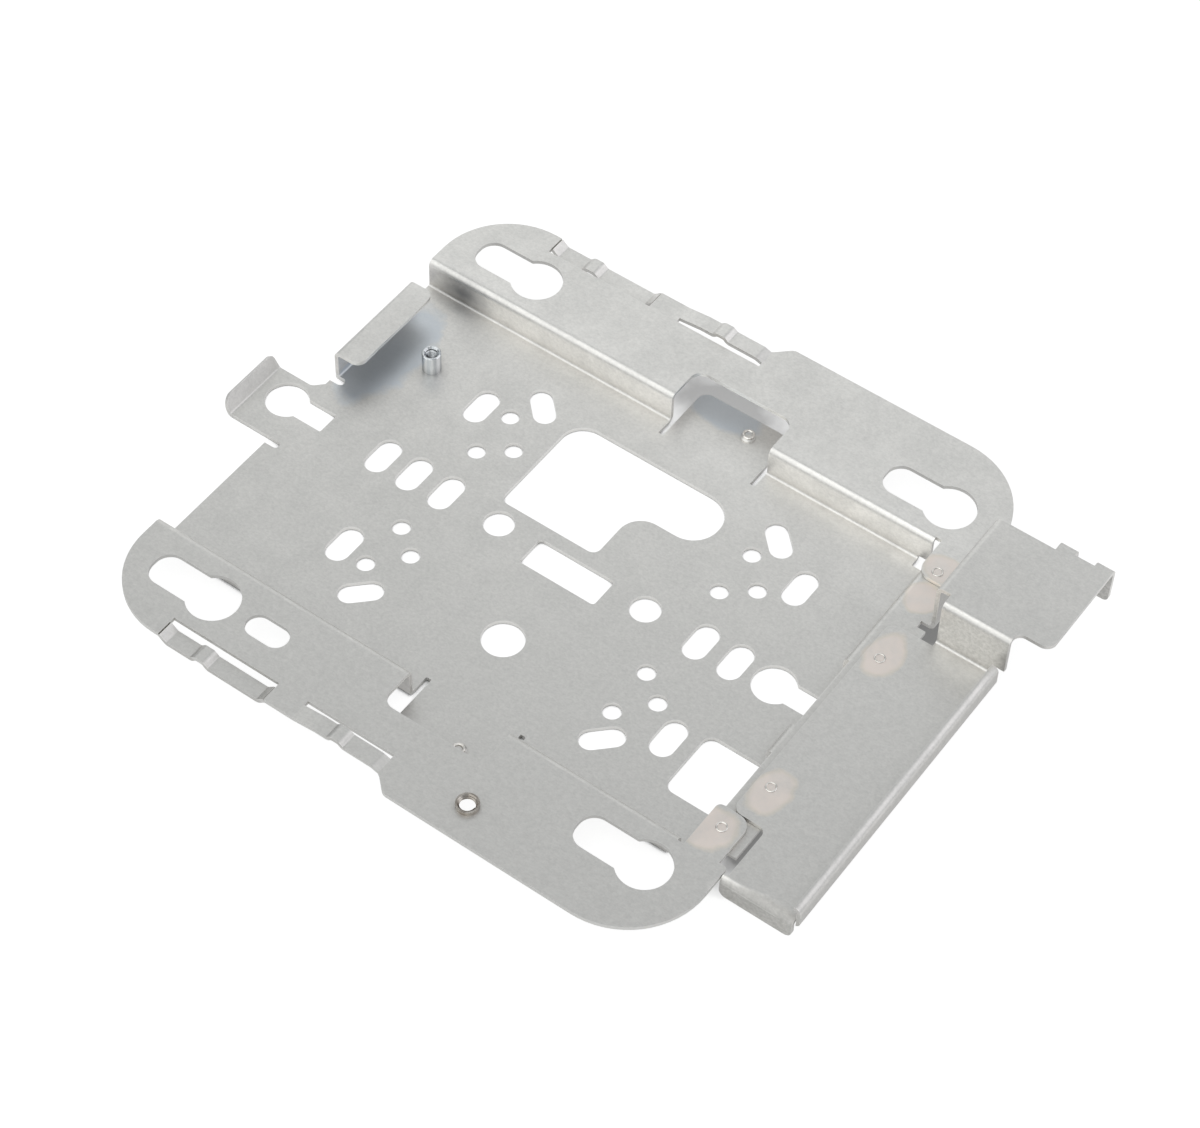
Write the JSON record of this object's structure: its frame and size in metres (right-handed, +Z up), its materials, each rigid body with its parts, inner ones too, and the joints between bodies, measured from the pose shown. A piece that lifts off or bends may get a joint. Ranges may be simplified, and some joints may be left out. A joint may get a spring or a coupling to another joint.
{
  "type": "stamped metal bracket",
  "caption": "Folded sheet-steel mounting bracket: a slotted pan with keyhole flanges, spring strips, an end tray and a raised hooked plate.",
  "frame": {"origin": "midway between the two middle bolt holes, on the underside of the pan floor", "axes": "+Z up from the floor to the flanges, +X along the flanges toward the hooked end, +Y toward the side of the raised plate"},
  "size_m": [0.2321, 0.1828, 0.026],
  "materials": {
    "galvanised_sheet": "matt galvanised sheet",
    "plated_nut": "dull plated steel",
    "bright_zinc": "bright zinc plate"
  },
  "bodies": {
    "root": {"bracket_sheet": "galvanised_sheet", "clinch_nut": "plated_nut", "threaded_standoff": "bright_zinc"}
  },
  "joints": []
}
